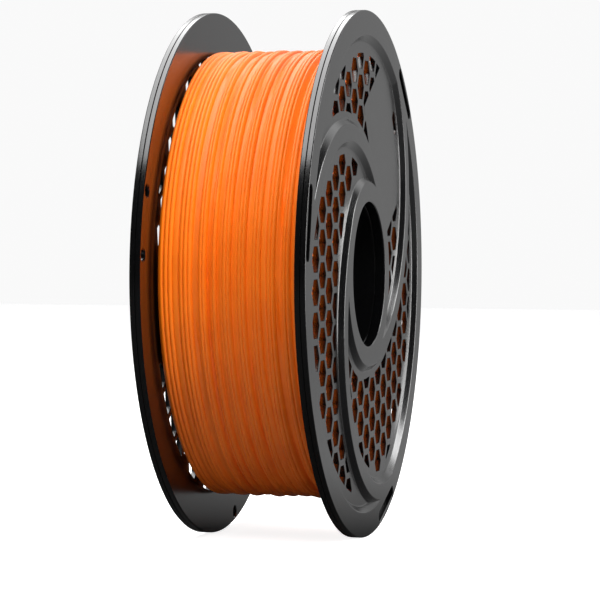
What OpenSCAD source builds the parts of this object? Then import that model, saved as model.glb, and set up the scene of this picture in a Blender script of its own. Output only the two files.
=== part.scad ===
// Filament spool: two recessed flanges pushed onto a webbed hub barrel, with the wound filament
// between them. The spool's axis is Y, and the bore's centre is the origin.

/* [Overall] */
// Diameter of both flanges
flange_d = 200; // [160:1:220]
// Width over both flanges
overall_w = 63; // [45:1:90]
// Diameter of the bore that hangs on the spindle
bore_d = 55; // [45:0.5:60]

/* [Flange] */
// Thickness of a flange at its rim
flange_t = 4; // [3:0.5:6]
// Depth of the recesses in the outer face
recess_depth = 2; // [1:0.1:2.4]
// Width of the raised rim ring, at the middle of its rounded flank
rim_w = 10.6; // [9:0.1:14]
// Width of the raised collar around the bore, at the middle of its flank
collar_w = 8.6; // [6:0.1:10]
// Chamfer on the edges of the rim and the bore
edge_chamfer = 0.5; // [0.2:0.1:0.8]
// Width of the groove around the middle of the rim's edge
edge_groove_w = 0.6; // [0.3:0.1:1]
// Depth of that groove
edge_groove_depth = 0.35; // [0.2:0.05:0.5]

/* [Arms] */
// Width of a raised arm, at the middle of its flanks
arm_w = 8.5; // [5:0.1:10]
// Distance from the rim's edge to the far side of the circle that an arm's middle follows
arm_inset = 1.8; // [1:0.1:4]
// Direction of that circle's centre, anticlockwise seen from outside
arm_centre_at = 82.6; // [0:0.1:119]

/* [Honeycomb] */
// Size of a cell across its flats
cell = 9; // [7:0.1:12]
// Wall between two cells
cell_wall = 2.6; // [1.6:0.1:4]
// Turn of the honeycomb
cell_turn = 1.6; // [0:0.1:30]
// Place of one cell's centre, seen from outside
cell_origin = [3.4, -4.4];
// Solid border between the honeycomb and an arm or the collar
cell_border = 4.4; // [3:0.1:8]
// Solid border between the honeycomb and the rim ring
rim_border = 5.4; // [3:0.1:10]

/* [Label panel] */
// Width of the solid panel for a label
panel_w = 42; // [30:1:48]
// Length of the panel
panel_len = 62; // [40:1:68]
// Distance of the panel's centre from the spool's axis
panel_centre = 58; // [50:0.5:64]
// Direction of the panel's centre
panel_at = 57; // [50:0.5:64]
// Turn of the panel
panel_turn = 32.5; // [25:0.5:40]

/* [Tuck slots] */
// Width of a slot that holds the filament's end
slot_w = 4.3; // [3:0.1:5]
// Depth of the slot
slot_depth = 2.2; // [1:0.1:2.6]
// Distance between the centres of the slot's two end holes
slot_span = 22.9; // [15:0.1:30]
// Distance from the rim's edge to the middle of the slot
slot_inset = 3.9; // [3.6:0.1:5]
// Direction of the first slot's middle
slot_at = 49.6; // [0:0.1:119]
// Chamfer at the inner mouth of the end holes
hole_chamfer = 0.5; // [0.2:0.1:0.8]

/* [Hub barrel] */
// Outer diameter of the drum that carries the filament
drum_d = 78; // [72:0.5:86]
// Wall of the drum and of the bore sleeve
barrel_wall = 2.4; // [1.6:0.1:3]
// Thickness of a web between the drum and the sleeve
web_t = 2; // [1.2:0.1:3]
// Number of webs
webs = 6; // [3:1:8]
// Length of the lugs that plug a flange into the drum
lug_len = 12; // [6:0.5:16]
// Thickness of a lug
lug_t = 2.4; // [1.6:0.1:3]
// Gap between a lug and the inside of the drum
lug_fit = 0.08; // [0.02:0.01:0.1]
// Gap between a lug's end and a web
lug_side_gap = 0.4; // [0.2:0.1:1]

/* [Filament] */
// Outer diameter of the full winding
wound_d = 169.4; // [110:0.2:180]
// Gap between the winding and each flange
wound_side_gap = 0.4; // [0.3:0.1:2]
// Gap between the winding and the drum
wound_drum_gap = 0.2; // [0.1:0.1:0.5]
// Rounding of the winding's shoulders
wound_round = 2; // [1:0.5:4]

/* [Hidden] */
$fn = 96;
eps = 0.01;
arms = 3;
hub_len = overall_w - 2 * flange_t;
rim_r = flange_d / 2;
bore_r = bore_d / 2;
drum_r = drum_d / 2;
ring_r = rim_r - rim_w;
collar_r = bore_r + collar_w;
plate_t = flange_t - recess_depth;

// The middle of an arm follows half of a circle, from inside the rim ring to where it runs
// along the collar. The circle's near side lies just inside the collar's edge.
arm_near = collar_r - arm_w / 2 - 0.4;
arm_far = rim_r - arm_inset;
arm_mid = (arm_far + arm_near) / 2;
arm_centre = (arm_far - arm_near) / 2;
arm_half_w = arm_w / 2;

pitch = cell + cell_wall;
cell_r = cell / sqrt(3);
// A cell that is cut by a border stays only if this much of it is left past its centre.
cell_keep = cell / 4;
cells_out_r = ring_r - rim_border;
cells_in_r = collar_r + cell_border;
cell_rings = ceil(cells_out_r / pitch / cos(30)) + 1;

slot_r = rim_r - slot_inset;
lug_r = drum_r - barrel_wall - lug_fit;
// Inside of the lugs, which stays clear of the spindle's sleeve.
lug_in_r = max(lug_r - lug_t, bore_d / 2 + barrel_wall + lug_side_gap);
// Half of the angle that a web and the gap beside it take away from a lug.
lug_free = asin((web_t / 2 + lug_side_gap) / lug_in_r);

function turned(p, a) = [p.x * cos(a) - p.y * sin(a), p.x * sin(a) + p.y * cos(a)];

function cell_centre(i, j) = cell_origin
    + turned([pitch * i * cos(30), pitch * (j + i / 2)], cell_turn);

// Distance from a point to the middle of arm k, or a large number where that arm isn't.
function arm_distance(p, k) =
    let (q = turned(p, -360 / arms * k - arm_centre_at) - [arm_centre, 0])
    q.y < 0 ? abs(norm(q) - arm_mid) : rim_r;

function off_arms(p) =
    min([for (k = [0:arms - 1]) arm_distance(p, k)]) > arm_half_w + cell_border - cell_keep;

function off_panel(p) =
    let (q = turned(p - turned([panel_centre, 0], panel_at), -panel_turn))
    abs(q.x) > panel_w / 2 - cell_keep || abs(q.y) > panel_len / 2 - cell_keep;

function in_rings(p) =
    norm(p) < cells_out_r + cell_keep && norm(p) > cells_in_r - cell_keep;

// A ring sector's solid of revolution: the children are its profile, at its true radius.
module sweep(from, angle) {
    rotate(from)
        rotate_extrude(angle = angle)
            children();
}

module tube(outer, inner, len) {
    difference() {
        cylinder(r = outer, h = len);
        translate([0, 0, -eps])
            cylinder(r = inner, h = len + 2 * eps);
    }
}

// Three half rings along the arms, wider than the arms by a border on both sides.
module arm_bands(border, len) {
    for (k = [0:arms - 1])
        rotate(arm_centre_at + 360 / arms * k)
            translate([arm_centre, 0, 0])
                sweep(-180, 180)
                    translate([arm_mid - arm_half_w - border, 0])
                        square([arm_w + 2 * border, len]);
}

// Solid disc with chamfered edges, a bore and a fine groove around its edge.
module disc() {
    c = edge_chamfer;
    g = edge_groove_w / 2;
    mid = flange_t / 2;
    rotate_extrude()
        polygon([
            [bore_r, 0],
            [rim_r - c, 0],
            [rim_r, c],
            [rim_r, mid - g],
            [rim_r - edge_groove_depth, mid],
            [rim_r, mid + g],
            [rim_r, flange_t - c],
            [rim_r - c, flange_t],
            [bore_r + c, flange_t],
            [bore_r, flange_t - c]
        ]);
}

// What the recesses take away: everything over the plate but the rim, the collar and the arms.
module recesses() {
    translate([0, 0, plate_t])
        difference() {
            tube(ring_r, collar_r, recess_depth + eps);
            translate([0, 0, -eps])
                arm_bands(0, recess_depth + 4 * eps);
        }
}

// The part of the plate that the honeycomb may cut.
module cell_field() {
    difference() {
        tube(cells_out_r, cells_in_r, plate_t + 2 * eps);
        translate([0, 0, -eps])
            arm_bands(cell_border, flange_t);
        rotate(panel_at)
            translate([panel_centre, 0, 0])
                rotate(panel_turn - panel_at)
                    translate([-panel_w / 2, -panel_len / 2, -eps])
                        cube([panel_w, panel_len, flange_t]);
    }
}

module honeycomb() {
    n = cell_rings;
    translate([0, 0, -eps])
        intersection() {
            cell_field();
            for (i = [-n:n])
                for (j = [-n - floor(i / 2):n - floor(i / 2)]) {
                    p = cell_centre(i, j);
                    if (in_rings(p) && off_arms(p) && off_panel(p))
                        translate([p.x, p.y, -eps])
                            rotate(cell_turn)
                                cylinder(r = cell_r, h = flange_t, $fn = 6);
                }
        }
}

// A shallow slot in the rim ring, with a hole through the flange at each end.
module tuck_slot() {
    floor_z = flange_t - slot_depth;
    translate([slot_r - slot_w / 2, -slot_span / 2, floor_z])
        cube([slot_w, slot_span, slot_depth + eps]);
    for (side = [-1, 1])
        translate([slot_r, side * slot_span / 2, -eps]) {
            cylinder(d = slot_w, h = flange_t + 2 * eps);
            cylinder(d1 = slot_w + 2 * hole_chamfer, d2 = slot_w, h = hole_chamfer);
        }
}

// Lugs stand on the inner face, one in each pocket between two webs of the barrel.
module lugs() {
    step = 360 / webs;
    for (k = [0:webs - 1])
        translate([0, 0, -lug_len])
            sweep(slot_at + step * k + lug_free, step - 2 * lug_free)
                translate([lug_in_r, 0])
                    square([lug_r - lug_in_r, lug_len + eps]);
}

// One flange: its inner face lies at z = 0 and its outer face looks along +Z.
module flange() {
    difference() {
        disc();
        recesses();
        honeycomb();
        for (k = [0:arms - 1])
            rotate(slot_at + 360 / arms * k)
                tuck_slot();
    }
    lugs();
}

// Turns a piece drawn along Z so that it lies along Y, with the near side at +Y.
module along_axis() {
    rotate([90, 0, 180])
        children();
}

module near_flange() {
    color("dimgray")
        along_axis()
            translate([0, 0, hub_len / 2])
                flange();
}

// The same moulding turned over about a line through the first slot, so the slots line up.
module far_flange() {
    color("dimgray")
        along_axis()
            rotate(180, [cos(slot_at), sin(slot_at), 0])
                translate([0, 0, hub_len / 2])
                    flange();
}

module hub_barrel() {
    sleeve_r = bore_r + barrel_wall;
    web_len = drum_r - sleeve_r;
    color("slategray")
        along_axis()
            translate([0, 0, -hub_len / 2]) {
                tube(drum_r, drum_r - barrel_wall, hub_len);
                tube(sleeve_r, bore_r, hub_len);
                for (k = [0:webs - 1])
                    rotate(slot_at + 360 / webs * k)
                        translate([sleeve_r - barrel_wall / 2, -web_t / 2, 0])
                            cube([web_len, web_t, hub_len]);
            }
}

module filament() {
    half = hub_len / 2 - wound_side_gap;
    outer = wound_d / 2;
    inner = drum_r + wound_drum_gap;
    color("darkorange")
        along_axis()
            rotate_extrude()
                union() {
                    translate([inner, -half])
                        square([outer - wound_round - inner, 2 * half]);
                    translate([inner, -half + wound_round])
                        square([outer - inner, 2 * half - 2 * wound_round]);
                    for (side = [-1, 1])
                        translate([outer - wound_round, side * (half - wound_round)])
                            circle(r = wound_round);
                }
}

hub_barrel();
filament();
near_flange();
far_flange();
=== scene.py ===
import math

import bpy
from mathutils import Matrix, Quaternion, Vector


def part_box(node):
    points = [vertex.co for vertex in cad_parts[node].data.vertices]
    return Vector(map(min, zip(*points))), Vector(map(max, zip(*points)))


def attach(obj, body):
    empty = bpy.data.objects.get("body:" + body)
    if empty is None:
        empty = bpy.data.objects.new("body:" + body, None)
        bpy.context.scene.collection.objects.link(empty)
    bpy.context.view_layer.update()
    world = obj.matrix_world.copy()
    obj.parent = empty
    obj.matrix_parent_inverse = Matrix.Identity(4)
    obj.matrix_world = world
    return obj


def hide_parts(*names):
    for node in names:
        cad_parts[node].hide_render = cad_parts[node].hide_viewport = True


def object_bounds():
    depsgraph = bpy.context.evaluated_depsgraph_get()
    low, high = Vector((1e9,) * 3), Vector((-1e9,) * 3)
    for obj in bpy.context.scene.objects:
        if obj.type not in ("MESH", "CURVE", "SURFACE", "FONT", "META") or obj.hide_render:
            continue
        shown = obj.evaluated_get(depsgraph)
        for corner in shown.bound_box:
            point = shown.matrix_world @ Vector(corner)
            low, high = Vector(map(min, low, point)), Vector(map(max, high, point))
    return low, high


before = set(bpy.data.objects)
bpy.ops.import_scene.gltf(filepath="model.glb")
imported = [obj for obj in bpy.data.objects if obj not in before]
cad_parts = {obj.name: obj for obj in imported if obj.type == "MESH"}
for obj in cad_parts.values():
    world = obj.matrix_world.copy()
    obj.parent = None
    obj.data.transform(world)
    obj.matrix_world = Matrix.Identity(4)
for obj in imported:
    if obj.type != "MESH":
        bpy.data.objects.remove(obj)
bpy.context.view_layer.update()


# ---- Hub barrel ------------------------------------------------------------------------------
# Injection-moulded black plastic: a drum for the filament and a sleeve for the spindle, joined
# by six radial webs. It's open at both ends, where the flanges' lugs plug in between the webs.

mm = 0.001
barrel_low, barrel_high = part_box("hub_barrel")
hub_len = barrel_high.y - barrel_low.y
drum_r = (barrel_high.z - barrel_low.z) / 2
bore_r = 27.5 * mm
wall = 2.4 * mm
web_t = 2.0 * mm
web_bite = 0.3 * wall
web_inset = 0.8 * mm
webs = 6
edge_round = 0.35 * mm
slot_at = math.radians(49.6)


def select_only(*pieces):
    """Leaves edit mode with these pieces selected and the first of them active."""
    if bpy.context.mode != "OBJECT":
        bpy.ops.object.mode_set(mode="OBJECT")
    bpy.ops.object.select_all(action="DESELECT")
    for piece in pieces:
        piece.select_set(True)
    bpy.context.view_layer.objects.active = pieces[0]


def select_faces(piece, wanted):
    """Goes into edit mode with the faces selected whose centre and normal are wanted."""
    select_only(piece)
    bpy.ops.object.mode_set(mode="EDIT")
    bpy.ops.mesh.select_mode(type="FACE")
    bpy.ops.mesh.select_all(action="DESELECT")
    bpy.ops.object.mode_set(mode="OBJECT")
    for face in piece.data.polygons:
        face.select = wanted(face.center, face.normal)
    bpy.ops.object.mode_set(mode="EDIT")


def select_ring(piece, radius, z, slack=0.01 * mm):
    """Goes into edit mode with the ring of edges selected at a radius and a height."""
    select_only(piece)
    bpy.ops.object.mode_set(mode="EDIT")
    bpy.ops.mesh.select_mode(type="EDGE")
    bpy.ops.mesh.select_all(action="DESELECT")
    bpy.ops.object.mode_set(mode="OBJECT")
    on_ring = [abs(math.hypot(v.co.x, v.co.y) - radius) < slack and abs(v.co.z - z) < slack
               for v in piece.data.vertices]
    for edge in piece.data.edges:
        edge.select = on_ring[edge.vertices[0]] and on_ring[edge.vertices[1]]
    bpy.ops.object.mode_set(mode="EDIT")


def round_ring(piece, radius, z, size, segments=3):
    """Rounds off the ring of edges at a radius and a height."""
    select_ring(piece, radius, z)
    bpy.ops.mesh.bevel(offset=size, segments=segments, affect="EDGES")
    bpy.ops.object.mode_set(mode="OBJECT")


def add_cylinder(name, radius, low, high, vertices):
    """A closed cylinder that stands on the XY plane's normal, between two heights."""
    bpy.ops.object.select_all(action="DESELECT")
    bpy.ops.mesh.primitive_cylinder_add(vertices=vertices, radius=radius, depth=high - low,
                                        location=(0, 0, (low + high) / 2))
    piece = bpy.context.object
    piece.name = piece.data.name = name
    bpy.ops.object.transform_apply(location=True)
    return piece


def add_block(name, size, place, turn=0.0):
    """A rectangular block at a place, turned round its own upright axis."""
    bpy.ops.object.select_all(action="DESELECT")
    bpy.ops.mesh.primitive_cube_add(size=1, location=place, rotation=(0, 0, turn))
    piece = bpy.context.object
    piece.name = piece.data.name = name
    piece.scale = size
    bpy.ops.object.transform_apply(location=True, rotation=True, scale=True)
    return piece


def add_tube(name, inner_r, outer_r, low, high, vertices):
    """A cylinder whose two ends are inset and bridged, which leaves it open right through."""
    piece = add_cylinder(name, outer_r, low, high, vertices)
    select_faces(piece, lambda centre, normal: abs(normal.z) > 0.9)
    bpy.ops.mesh.inset(thickness=outer_r - inner_r, use_individual=True)
    bpy.ops.mesh.bridge_edge_loops()
    bpy.ops.object.mode_set(mode="OBJECT")
    return piece


def combine(piece, tool, operation):
    """Joins a tool to a piece, cuts it away or keeps only what they share, and removes it."""
    boolean = piece.modifiers.new("combine", "BOOLEAN")
    boolean.operation = operation
    boolean.solver = "MANIFOLD"
    boolean.object = tool
    select_only(piece)
    bpy.ops.object.modifier_apply(modifier=boolean.name)
    bpy.data.objects.remove(tool)


def own_copy(piece):
    """A copy of a piece, with its own mesh."""
    copy = piece.copy()
    copy.data = piece.data.copy()
    bpy.context.collection.objects.link(copy)
    return copy


def turned_copy(piece, angle):
    """A copy of a piece, turned round the Z axis."""
    copy = own_copy(piece)
    copy.matrix_world = Matrix.Rotation(angle, 4, "Z")
    select_only(copy)
    bpy.ops.object.transform_apply(rotation=True)
    return copy


def combine_around(piece, tool, operation, first, step, count):
    """Combines a piece with a tool at each of its places round the Z axis."""
    for k in range(count):
        combine(piece, turned_copy(tool, first + step * k), operation)
    bpy.data.objects.remove(tool)


def lay_along_y(piece, turn=Matrix.Identity(4), shift=0.0):
    """Lays a piece that stands on Z along the spool's axis, with its top side towards +Y."""
    stand = Matrix.Rotation(math.pi, 4, "Z") @ Matrix.Rotation(math.pi / 2, 4, "X")
    select_only(piece)
    piece.matrix_world = stand @ turn @ Matrix.Translation((0, 0, shift))
    bpy.ops.object.transform_apply(location=True, rotation=True, scale=True)


def smooth_faces(piece, degrees=35):
    """Shades curved faces smooth and keeps flat ones flat up to their rounded edges."""
    select_only(piece)
    bpy.ops.object.shade_smooth_by_angle(angle=math.radians(degrees))
    weighted = piece.modifiers.new("flat faces", "WEIGHTED_NORMAL")
    weighted.keep_sharp = True
    bpy.ops.object.modifier_apply(modifier=weighted.name)


def finish_in(piece, material):
    """Gives every face of a piece one material."""
    piece.data.materials.clear()
    piece.data.materials.append(material)
    piece.data.polygons.foreach_set("material_index", [0] * len(piece.data.polygons))


half = hub_len / 2
barrel = add_tube("hub_barrel_moulding", drum_r - wall, drum_r, -half, half, 192)
sleeve = add_tube("spindle_sleeve", bore_r, bore_r + wall, -half, half, 192)
for tube, inner_r in ((barrel, drum_r - wall), (sleeve, bore_r)):
    for z in (-half, half):
        round_ring(tube, inner_r, z, edge_round)
        round_ring(tube, inner_r + wall, z, edge_round)
combine(barrel, sleeve, "UNION")
web = add_block("web", (drum_r - bore_r - 2 * (wall - web_bite), web_t, hub_len - 2 * web_inset),
                ((drum_r + bore_r) / 2, 0, 0))
bpy.ops.object.mode_set(mode="EDIT")
bpy.ops.mesh.select_all(action="SELECT")
bpy.ops.mesh.bevel(offset=0.3 * mm, segments=2, affect="EDGES")
bpy.ops.object.mode_set(mode="OBJECT")
combine_around(barrel, web, "UNION", slot_at, math.tau / webs, webs)
smooth_faces(barrel)
lay_along_y(barrel)
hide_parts("hub_barrel")
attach(barrel, "barrel")


def add_node(tree, kind, links=(), **settings):
    """Adds a node with its settings, and links or sets its inputs by name or number."""
    node = tree.nodes.new(kind)
    for key, value in settings.items():
        setattr(node, key, value)
    for label, source in dict(links).items():
        if isinstance(source, bpy.types.NodeSocket):
            tree.links.new(source, node.inputs[label])
        else:
            node.inputs[label].default_value = source
    return node


# The mould's fine spark-eroded grain, slow flow marks under it, and the faint scuffs and dust
# of a spool that has been handled. Scuffs and flow marks also dull the gloss a little.
moulding_skin = bpy.data.node_groups.new("moulded_skin", "ShaderNodeTree")
for label, value in (("Grain Scale", 2800.0), ("Scuffs", 0.5), ("Roughness", 0.25)):
    socket = moulding_skin.interface.new_socket(label, in_out="INPUT",
                                                socket_type="NodeSocketFloat")
    socket.default_value = value
for label in ("Height", "Roughness", "Dust"):
    moulding_skin.interface.new_socket(label, in_out="OUTPUT", socket_type="NodeSocketFloat")
take = moulding_skin.nodes.new("NodeGroupInput").outputs
give = moulding_skin.nodes.new("NodeGroupOutput").inputs
place = add_node(moulding_skin, "ShaderNodeTexCoord").outputs["Object"]
grain = add_node(moulding_skin, "ShaderNodeTexNoise",
                 {"Vector": place, "Scale": take["Grain Scale"], "Detail": 2.0})
flow = add_node(moulding_skin, "ShaderNodeTexNoise",
                {"Vector": place, "Scale": 38.0, "Detail": 3.0})
scratch = add_node(moulding_skin, "ShaderNodeTexNoise",
                   {"Vector": place, "Scale": 240.0, "Detail": 6.0, "Roughness": 0.7,
                    "Distortion": 1.4})
worn = add_node(moulding_skin, "ShaderNodeMapRange",
                {"Value": scratch.outputs["Fac"], "From Min": 0.56, "From Max": 0.76})
worn = add_node(moulding_skin, "ShaderNodeMath",
                {0: worn.outputs["Result"], 1: take["Scuffs"]}, operation="MULTIPLY")
height = add_node(moulding_skin, "ShaderNodeMath",
                  {0: flow.outputs["Fac"], 1: 0.4, 2: grain.outputs["Fac"]},
                  operation="MULTIPLY_ADD")
rough = add_node(moulding_skin, "ShaderNodeMath",
                 {0: worn.outputs[0], 1: 0.16, 2: take["Roughness"]}, operation="MULTIPLY_ADD")
rough = add_node(moulding_skin, "ShaderNodeMath",
                 {0: flow.outputs["Fac"], 1: 0.05, 2: rough.outputs[0]},
                 operation="MULTIPLY_ADD")
moulding_skin.links.new(height.outputs[0], give["Height"])
moulding_skin.links.new(rough.outputs[0], give["Roughness"])
moulding_skin.links.new(worn.outputs[0], give["Dust"])


def black_plastic(name, black, dusty, scuffs, roughness, bump):
    """Black moulded plastic: nearly black under dust, with the moulding's skin."""
    material = bpy.data.materials.new(name)
    material.use_nodes = True
    tree = material.node_tree
    shader = tree.nodes["Principled BSDF"]
    shader.inputs["IOR"].default_value = 1.7
    skin = add_node(tree, "ShaderNodeGroup", {}, node_tree=moulding_skin)
    skin.inputs["Scuffs"].default_value = scuffs
    skin.inputs["Roughness"].default_value = roughness
    tint = add_node(tree, "ShaderNodeValToRGB", {"Fac": skin.outputs["Dust"]})
    tint.color_ramp.elements[0].color = (*black, 1)
    tint.color_ramp.elements[1].color = (*dusty, 1)
    bumped = add_node(tree, "ShaderNodeBump", {"Height": skin.outputs["Height"],
                                               "Strength": bump, "Distance": 0.00003})
    tree.links.new(tint.outputs["Color"], shader.inputs["Base Color"])
    tree.links.new(skin.outputs["Roughness"], shader.inputs["Roughness"])
    tree.links.new(bumped.outputs["Normal"], shader.inputs["Normal"])
    return material


barrel_plastic = black_plastic("black_barrel_plastic", black=(0.002, 0.002, 0.0022),
                               dusty=(0.008, 0.008, 0.0085), scuffs=0.4, roughness=0.26, bump=0.3)
finish_in(barrel, barrel_plastic)


# ---- Flanges ---------------------------------------------------------------------------------
# Two copies of one injection moulding in glossy black plastic: a thin plate pierced by a
# honeycomb, stiffened by a rim, a collar and three spiral arms, all with sloping flanks.
# Each is pushed onto the barrel by six lugs, and its rim has slots to tuck the filament's end.

near_low, near_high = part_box("near_flange")
flange_t = near_high.y - half
rim_r = near_high.z
lug_len = half - near_low.y
recess_depth = 2.0 * mm
plate_t = flange_t - recess_depth
# The rim ring and the collar end at a crest, and an arm's middle line is half a circle.
ring_r = rim_r - 9.2 * mm
collar_r = bore_r + 7.2 * mm
flank_w = 2.8 * mm
arm_w = 5.7 * mm
arms = 3
arm_at = math.radians(82.6)
arm_far = rim_r - 1.8 * mm
arm_near = bore_r + 3.95 * mm
arm_mid = (arm_far + arm_near) / 2
arm_centre = (arm_far - arm_near) / 2
arm_step = math.tau / arms
flank_round = 0.18
flank = (0, 0.06, 0.12, 0.18, 0.5, 0.82, 0.88, 0.94, 1)
groove_half = 0.22 * mm
groove_depth = 0.25 * mm


def flank_drop(share):
    """How far a flank has gone down: a straight slope with a small round at each end."""
    bend = 2 * flank_round * (1 - flank_round)
    if share < flank_round:
        return recess_depth * share ** 2 / bend
    if share > 1 - flank_round:
        return recess_depth * (1 - (1 - share) ** 2 / bend)
    return recess_depth * (share - flank_round / 2) / (1 - flank_round)


def press_flank_down():
    """Insets the selected face down a flank, from its crest to its foot."""
    for high, low in zip(flank, flank[1:]):
        bpy.ops.mesh.inset(thickness=flank_w * (low - high),
                           depth=flank_drop(high) - flank_drop(low))


def raise_flank_up():
    """Insets the selected face up the same flank, from its foot to its crest."""
    for high, low in zip(flank[-2::-1], flank[:0:-1]):
        bpy.ops.mesh.inset(thickness=flank_w * (low - high),
                           depth=flank_drop(low) - flank_drop(high))


def open_middle(piece, radius):
    """Bridges the faces in the middle of both ends, which opens the piece right through."""
    select_faces(piece, lambda centre, normal: abs(normal.z) > 0.9
                 and math.hypot(centre.x, centre.y) < radius)
    bpy.ops.mesh.bridge_edge_loops()


def halve_to_arm(ring):
    """Keeps the half of a ring that an arm follows, and moves it out to the arm's centre."""
    select_faces(ring, lambda centre, normal: True)
    bpy.ops.mesh.bisect(plane_co=(0, 0, 0), plane_no=(0, 1, 0), clear_outer=True, use_fill=True)
    bpy.ops.object.mode_set(mode="OBJECT")
    ring.location = (arm_centre, 0, 0)
    select_only(ring)
    bpy.ops.object.transform_apply(location=True)


def flare_end(punch, height, widen):
    """Draws out a punch's top, or its bottom where the height is negative, and widens it."""
    select_faces(punch, lambda centre, normal: normal.z * math.copysign(1, height) > 0.9)
    bpy.ops.mesh.extrude_region_move(TRANSFORM_OT_translate={"value": (0, 0, height)})
    bpy.ops.transform.resize(value=(widen, widen, 1), center_override=(0, 0, 0))
    bpy.ops.object.mode_set(mode="OBJECT")


flange = add_cylinder("flange_moulding", rim_r, 0, flange_t, 240)
select_faces(flange, lambda centre, normal: normal.z > 0.9)
bpy.ops.mesh.inset(thickness=rim_r - ring_r)
press_flank_down()
bpy.ops.mesh.inset(thickness=ring_r - collar_r - 2 * flank_w)
raise_flank_up()
bpy.ops.mesh.inset(thickness=collar_r - bore_r)
select_faces(flange, lambda centre, normal: normal.z < -0.9)
bpy.ops.mesh.inset(thickness=rim_r - bore_r)
open_middle(flange, bore_r / 2)
bpy.ops.mesh.select_all(action="SELECT")
bpy.ops.mesh.bisect(plane_co=(0, 0, flange_t / 2), plane_no=(0, 0, 1))
bpy.ops.object.mode_set(mode="OBJECT")
# The rim's edge is two soft facets with a fine parting groove between them.
round_ring(flange, rim_r, flange_t, edge_round)
round_ring(flange, rim_r, 0, edge_round)
round_ring(flange, rim_r, flange_t / 2, groove_half, 2)
select_ring(flange, rim_r, flange_t / 2)
groove = 1 - groove_depth / rim_r
bpy.ops.transform.resize(value=(groove, groove, 1), center_override=(0, 0, 0))
bpy.ops.object.mode_set(mode="OBJECT")
round_ring(flange, bore_r, flange_t, 0.5 * mm)
round_ring(flange, bore_r, 0, 0.4 * mm, 2)

# An arm is half of a raised ring of its own, trimmed to end inside the rim and the collar.
arm = add_cylinder("arm", arm_mid + arm_w / 2 + flank_w, plate_t / 2, plate_t, 240)
select_faces(arm, lambda centre, normal: normal.z > 0.9)
raise_flank_up()
bpy.ops.mesh.inset(thickness=arm_w)
press_flank_down()
select_faces(arm, lambda centre, normal: normal.z < -0.9)
bpy.ops.mesh.inset(thickness=arm_w + 2 * flank_w)
open_middle(arm, arm_mid / 2)
halve_to_arm(arm)
combine(arm, add_tube("arm_trim", bore_r + 2 * mm, rim_r - 3 * mm, 0, 2 * flange_t, 192),
        "INTERSECT")
combine_around(flange, arm, "UNION", arm_at, arm_step, arms)

# The honeycomb stands clear of the arms, the collar, the rim and the blank label panel.
cell = 9.0 * mm
pitch = 11.6 * mm
cell_turn = math.radians(1.6)
cell_origin = Vector((3.4, -4.4)) * mm
cells_in_r, cells_out_r = collar_r + 5.4 * mm, ring_r - 6.8 * mm
arm_clear = arm_w / 2 + 5.0 * mm
panel_size = Vector((42, 62)) * mm
panel_turn = math.radians(32.5)
panel_at = Matrix.Rotation(math.radians(57), 2) @ Vector((58 * mm, 0))
least_cut = cell / 4
field = add_tube("cell_field", cells_in_r, cells_out_r, -mm, flange_t, 192)
band = add_tube("arm_band", arm_mid - arm_clear, arm_mid + arm_clear, -2 * mm, 5 * mm, 192)
halve_to_arm(band)
combine_around(field, band, "DIFFERENCE", arm_at, arm_step, arms)
combine(field, add_block("label_panel", (*panel_size, 20 * mm), (*panel_at, 0), panel_turn),
        "DIFFERENCE")


def is_cell(centre):
    """Whether enough of a cell is left once the borders have cut it."""
    if not cells_in_r - least_cut < centre.length < cells_out_r + least_cut:
        return False
    for k in range(arms):
        from_arm = Matrix.Rotation(-arm_at - arm_step * k, 2) @ centre
        from_arm.x -= arm_centre
        if from_arm.y < 0 and abs(from_arm.length - arm_mid) < arm_clear - least_cut:
            return False
    on_panel = Matrix.Rotation(-panel_turn, 2) @ (centre - panel_at)
    return (abs(on_panel.x) > panel_size.x / 2 - least_cut
            or abs(on_panel.y) > panel_size.y / 2 - least_cut)


# One hexagonal punch with a small flare at the mouth, copied to every place.
punch = add_cylinder("cell_punch", cell / math.sqrt(3), -mm, plate_t - 0.2 * mm, 6)
punch.rotation_euler.z = cell_turn + math.pi / 2
bpy.ops.object.transform_apply(rotation=True)
flare_end(punch, 0.4 * mm, 1.09)
punches = []
row_pitch = pitch * math.cos(math.pi / 6)
reach = math.ceil(cells_out_r / row_pitch) + 1
for row in range(-reach, reach + 1):
    for column in range(-2 * reach, 2 * reach + 1):
        centre = cell_origin + Matrix.Rotation(cell_turn, 2) @ Vector(
            (row_pitch * row, pitch * (column + row / 2)))
        if is_cell(centre):
            punches.append(own_copy(punch))
            punches[-1].location = (*centre, 0)
bpy.data.objects.remove(punch)
select_only(*punches)
bpy.ops.object.transform_apply(location=True)
bpy.ops.object.join()
honeycomb = bpy.context.object
combine(honeycomb, field, "INTERSECT")
combine(flange, honeycomb, "DIFFERENCE")

# Three shallow slots in the rim, each with a hole through the flange at both ends.
slot_w = 4.3 * mm
slot_span = 22.9 * mm
slot_depth = 2.2 * mm
slot_r = rim_r - 3.9 * mm
slot = add_cylinder("tuck_slot", slot_w / 2, flange_t - slot_depth, flange_t - 0.25 * mm, 32)
flare_end(slot, 0.5 * mm, 1.22)
for vertex in slot.data.vertices:
    if abs(vertex.co.y) > 0.01 * mm:
        vertex.co.y += math.copysign(slot_span / 2, vertex.co.y)
    vertex.co.x += slot_r
hole = add_cylinder("tuck_hole", slot_w / 2, 0.5 * mm, flange_t - mm, 32)
flare_end(hole, -mm, 1.46)
for side in (-1, 1):
    end = own_copy(hole)
    end.location = (slot_r, side * slot_span / 2, 0)
    select_only(end)
    bpy.ops.object.transform_apply(location=True)
    combine(slot, end, "UNION")
bpy.data.objects.remove(hole)
combine_around(flange, slot, "DIFFERENCE", slot_at, arm_step, arms)

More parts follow.
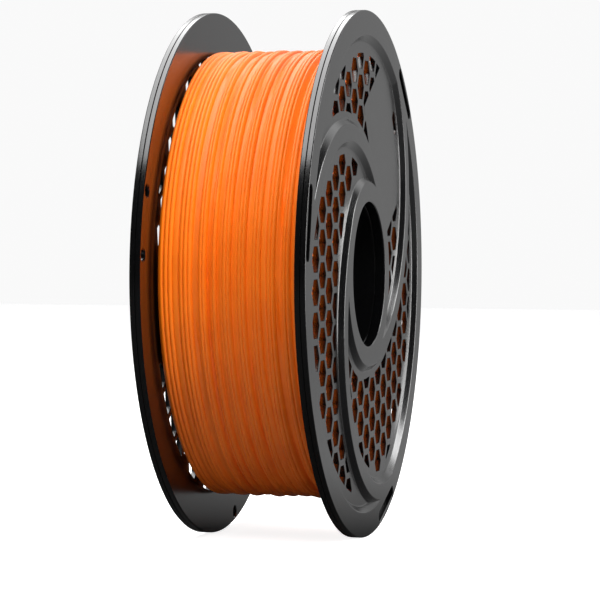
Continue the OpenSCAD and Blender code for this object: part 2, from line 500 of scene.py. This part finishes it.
# Six lugs: a short tapered tube inside the drum, cut through where the webs pass.
lug_fit = 0.08 * mm
lug_t = 2.4 * mm
lug_side_gap = 0.4 * mm
lug_r = drum_r - wall - lug_fit
lug_in_r = lug_r - lug_t
lugs = add_tube("lugs", lug_in_r, lug_r, -lug_len, mm, 192)
round_ring(lugs, lug_r, -lug_len, 1.0 * mm, 3)
round_ring(lugs, lug_in_r, -lug_len, 0.5 * mm, 2)
gap = add_block("web_gap", (3 * drum_r, web_t + 2 * lug_side_gap, lug_len + mm),
                (0, 0, -(lug_len + mm) / 2))
combine_around(lugs, gap, "DIFFERENCE", slot_at, math.tau / webs, webs // 2)
combine(flange, lugs, "UNION")
smooth_faces(flange)

far = turned_copy(flange, 0)
flange.name = flange.data.name = "near_flange_moulding"
far.name = far.data.name = "far_flange_moulding"
turned_over = Matrix.Rotation(math.pi, 4, Vector((math.cos(slot_at), math.sin(slot_at), 0)))
lay_along_y(flange, shift=half)
lay_along_y(far, turn=turned_over, shift=half)
flange_plastic = black_plastic("black_flange_plastic", black=(0.002, 0.002, 0.0022),
                               dusty=(0.006, 0.006, 0.0064), scuffs=0.25, roughness=0.17,
                               bump=0.18)
for piece, node in ((flange, "near_flange"), (far, "far_flange")):
    finish_in(piece, flange_plastic)
    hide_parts(node)
    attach(piece, node)


# ---- Filament --------------------------------------------------------------------------------
# One long strand of orange plastic, 1.75 mm thick, wound on by machine in layers. The top layer
# is a real helix of turns, which rises and falls in bunches over the uneven layers below it.

strand_r = 0.875 * mm
wound_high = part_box("filament")[1]
wound_r = wound_high.z
wound_half = wound_high.y
# The bunches' borders across the width, how high each valley and each crest between them stands.
bunches = [0, 0.13, 0.265, 0.355, 0.42, 0.52, 0.62, 0.72, 0.835, 0.92, 1.0]
valleys = [0.6, 0.5, 0.1, 0.0, 0.3, 0.1, 0.0, 0.5, 0.0, 0.5, 0.6]
crests = [0.8, 0.85, 0.95, 0.8, 1.0, 0.9, 0.85, 1.0, 0.8, 0.8]


def wound_height(share):
    """How far the winding stands up across its width, in bunches with valleys between."""
    share = min(max(share, 0.0), 1.0)
    for low, high, before, after, crest in zip(bunches, bunches[1:], valleys, valleys[1:],
                                               crests):
        if share <= high:
            t = (share - low) / (high - low)
            floor_here = before + (after - before) * t
            return floor_here + (crest - floor_here) * math.sin(math.pi * t) ** 0.75
    return valleys[-1]


turns = 29
pressed = 1.2
side_room = 1.35 * strand_r
bed_r = wound_r - strand_r - 1.5 * mm
bunch_rise = 2.2 * mm
bunch_pull = 0.08
strand_pitch = (2 * wound_half - 2 * side_room) / turns
bpy.ops.object.select_all(action="DESELECT")
bpy.ops.mesh.primitive_circle_add(vertices=12, radius=pressed * strand_r, fill_type="NGON",
                                  location=(bed_r, 0, side_room - wound_half),
                                  rotation=(math.pi / 2, 0, 0))
strand = bpy.context.object
strand.name = strand.data.name = "filament_top_layer"
bpy.ops.object.transform_apply(location=True, rotation=True)
screw = strand.modifiers.new("wind", "SCREW")
screw.steps = screw.render_steps = 120
screw.iterations = turns
screw.screw_offset = strand_pitch
bpy.ops.object.modifier_apply(modifier=screw.name)
bpy.ops.object.mode_set(mode="EDIT")
bpy.ops.mesh.select_all(action="SELECT")
bpy.ops.mesh.fill_holes(sides=12)
bpy.ops.mesh.select_all(action="SELECT")
bpy.ops.mesh.normals_make_consistent(inside=False)
bpy.ops.object.mode_set(mode="OBJECT")
for vertex in strand.data.vertices:
    x, y, z = vertex.co
    around = math.atan2(y, x)
    share = (z + wound_half) / (2 * wound_half)
    share += 0.008 * math.sin(around + 4 * share) + 0.003 * math.sin(3 * around + 11 * share)
    lift = 1 + bunch_rise * wound_height(share) / math.hypot(x, y)
    low, high = next((low, high) for low, high in zip(bunches, bunches[1:])
                     if share <= high or high == bunches[-1])
    pull = bunch_pull * 2 * wound_half * ((low + high) / 2 - share)
    vertex.co = (x * lift, y * lift, z + pull)
smooth_faces(strand, 60)
lay_along_y(strand)

# The layers below: one turned solid whose ends show the outermost turn of every layer.
layers = 27
inner_r = drum_r + 0.2 * mm
top_r = wound_r - 1.9 * mm
layer = (top_r - inner_r) / layers
edge = []
for k in range(layers):
    middle = inner_r + strand_r + k * layer
    inset = strand_r * (0.3 + 0.3 * math.sin(2.4 * k) * math.sin(0.7 * k))
    for angle in (math.radians(degrees) for degrees in (-62, -31, 0, 31, 62)):
        edge.append((middle + strand_r * math.sin(angle),
                     wound_half - inset - strand_r * (1 - math.cos(angle))))
edge = [(inner_r, edge[0][1])] + edge + [(top_r, edge[-1][1] - mm)]
outline = edge + [(radius, -z) for radius, z in edge[::-1]]
bpy.ops.object.select_all(action="DESELECT")
bpy.ops.mesh.primitive_circle_add(vertices=len(outline), radius=wound_half)
core = bpy.context.object
core.name = core.data.name = "filament_layers_below"
for vertex, (radius, z) in zip(core.data.vertices, outline):
    vertex.co = (radius, 0, z)
bpy.ops.object.mode_set(mode="EDIT")
bpy.ops.mesh.select_all(action="SELECT")
bpy.ops.mesh.spin(steps=144, angle=math.tau, center=(0, 0, 0), axis=(0, 0, 1))
bpy.ops.mesh.select_all(action="SELECT")
bpy.ops.mesh.remove_doubles(threshold=1e-6)
bpy.ops.mesh.normals_make_consistent(inside=False)
bpy.ops.object.mode_set(mode="OBJECT")
smooth_faces(core, 50)
lay_along_y(core)

filament_plastic = bpy.data.materials.new("orange_filament")
filament_plastic.use_nodes = True
tree = filament_plastic.node_tree
shader = tree.nodes["Principled BSDF"]
shader.inputs["Specular IOR Level"].default_value = 0.7
place = add_node(tree, "ShaderNodeTexCoord").outputs["Object"]
shade = add_node(tree, "ShaderNodeTexNoise", {"Vector": place, "Scale": 55.0, "Detail": 4.0})
tint = add_node(tree, "ShaderNodeValToRGB", {"Fac": shade.outputs["Fac"]})
tint.color_ramp.elements[0].position, tint.color_ramp.elements[1].position = 0.3, 0.7
tint.color_ramp.elements[0].color = (0.93, 0.165, 0.0, 1)
tint.color_ramp.elements[1].color = (1.0, 0.2, 0.002, 1)
sheen = add_node(tree, "ShaderNodeMapRange",
                 {"Value": shade.outputs["Fac"], "To Min": 0.5, "To Max": 0.62})
fine = add_node(tree, "ShaderNodeTexNoise", {"Vector": place, "Scale": 1100.0, "Detail": 3.0})
bumped = add_node(tree, "ShaderNodeBump",
                  {"Height": fine.outputs["Fac"], "Strength": 0.2, "Distance": 0.00005})
tree.links.new(tint.outputs["Color"], shader.inputs["Base Color"])
tree.links.new(sheen.outputs["Result"], shader.inputs["Roughness"])
tree.links.new(bumped.outputs["Normal"], shader.inputs["Normal"])
for piece in (core, strand):
    finish_in(piece, filament_plastic)
    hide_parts("filament")
    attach(piece, "barrel")


# ---- Floor, light and camera -----------------------------------------------------------------
# The spool stands on a pale floor under one long softbox, with broad softboxes at two sides and
# a strip behind that picks out the crests. Its black plastic mirrors a pale room behind it and a
# dark one in front, and the floor it mirrors is darker than the floor it stands on.

bpy.ops.object.select_all(action="DESELECT")
bpy.ops.mesh.primitive_plane_add(size=12, location=(0, 0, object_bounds()[0].z))
floor = bpy.context.object
floor.name = "floor"
paint = bpy.data.materials.new("pale_floor")
paint.use_nodes = True
tree = paint.node_tree
paths = add_node(tree, "ShaderNodeLightPath")
seen = paths.outputs["Is Camera Ray"]
unseen = add_node(tree, "ShaderNodeMix", {"Factor": paths.outputs["Is Glossy Ray"],
                                          "A": 0.27, "B": 0.02})
shade = add_node(tree, "ShaderNodeMix", {"Factor": seen, "A": unseen.outputs["Result"],
                                         "B": 0.8})
# For every ray but the camera's, the floor glows faintly behind the spool and not in front of it:
# a painted glow that stands in for light and gives the black plastic a painted reflection to
# mirror.
behind = add_node(tree, "ShaderNodeSeparateXYZ",
                  {0: add_node(tree, "ShaderNodeTexCoord").outputs["Object"]})
behind = add_node(tree, "ShaderNodeMapRange",
                  {"Value": behind.outputs["X"], "From Min": -0.3, "From Max": 0.0,
                   "To Min": 0.3, "To Max": 0.0})
lit = add_node(tree, "ShaderNodeMix", {"Factor": seen, "A": behind.outputs["Result"],
                                       "B": 0.85})
shader = tree.nodes["Principled BSDF"]
shader.inputs["Roughness"].default_value = 0.9
shader.inputs["Emission Color"].default_value = (1, 1, 1, 1)
tree.links.new(shade.outputs["Result"], shader.inputs["Base Color"])
tree.links.new(lit.outputs["Result"], shader.inputs["Emission Strength"])
floor.data.materials.append(paint)


def add_softbox(name, place, width, depth, power, mirrored=True):
    """A rectangular softbox that faces the spool, mirrored in its plastic or not."""
    lamp = bpy.data.objects.new(name, bpy.data.lights.new(name, "AREA"))
    lamp.data.shape = "RECTANGLE"
    lamp.data.size, lamp.data.size_y = width, depth
    lamp.data.energy = power
    lamp.location = place
    lamp.rotation_mode = "QUATERNION"
    lamp.rotation_quaternion = (-Vector(place)).to_track_quat("-Z", "Y")
    lamp.visible_glossy = mirrored
    bpy.context.collection.objects.link(lamp)
    return lamp


overhead = add_softbox("overhead_softbox", (-0.25, -0.25, 1.0), 2.4, 0.5, 20)
overhead.rotation_quaternion = (1, 0, 0, 0)
add_softbox("key_softbox", (1.05, 0.25, 1.05), 0.9, 0.9, 14, mirrored=False)
add_softbox("side_softbox", (0.35, 1.4, 0.35), 0.9, 0.9, 38, mirrored=False)
strip = add_softbox("strip_softbox", (-0.85, 1.2, 0.2), 0.4, 1.3, 16)
strip.visible_diffuse = False

world = bpy.data.worlds.new("studio")
bpy.context.scene.world = world
world.use_nodes = True
tree = world.node_tree
toward = add_node(tree, "ShaderNodeSeparateXYZ",
                  {0: add_node(tree, "ShaderNodeTexCoord").outputs["Generated"]})
away = add_node(tree, "ShaderNodeMath", {0: toward.outputs["X"], 1: -1.0}, operation="MULTIPLY")
room = add_node(tree, "ShaderNodeValToRGB", {"Fac": away.outputs[0]})
room.color_ramp.elements[0].position, room.color_ramp.elements[1].position = 0.60, 0.70
for position in (0.83, 0.90):
    room.color_ramp.elements.new(position)
for stop, level in zip(room.color_ramp.elements, (0.015, 1.0, 1.0, 0.31)):
    stop.color = (level, level, level, 1)
room = add_node(tree, "ShaderNodeMath", {0: room.outputs["Color"], 1: 1.3}, operation="MULTIPLY")
seen = add_node(tree, "ShaderNodeLightPath").outputs["Is Camera Ray"]
bright = add_node(tree, "ShaderNodeMix", {"Factor": seen, "A": room.outputs[0],
                                          "B": 0.95})
tree.links.new(bright.outputs["Result"], tree.nodes["Background"].inputs["Strength"])
tree.nodes["Background"].inputs["Color"].default_value = (1, 1, 1, 1)
bpy.context.scene.view_settings.view_transform = "Standard"

distance = 0.908
camera = bpy.data.objects.new("camera", bpy.data.cameras.new("camera"))
camera.data.lens = 141.75
camera.data.sensor_width = 36
azimuth = math.radians(104.63)
right = Vector((math.cos(azimuth), math.sin(azimuth), 0))
camera.location = Vector((math.sin(azimuth), -math.cos(azimuth), 0)) * distance
aim = right * 4.0 * mm + Vector((0, 0, -10.1)) * mm
camera.rotation_mode = "QUATERNION"
camera.rotation_quaternion = ((aim - camera.location).to_track_quat("-Z", "Y")
                              @ Quaternion((0, 0, 1), math.radians(0.37)))
camera.data.clip_start, camera.data.clip_end = 0.01, 50
bpy.context.collection.objects.link(camera)
bpy.context.scene.camera = camera
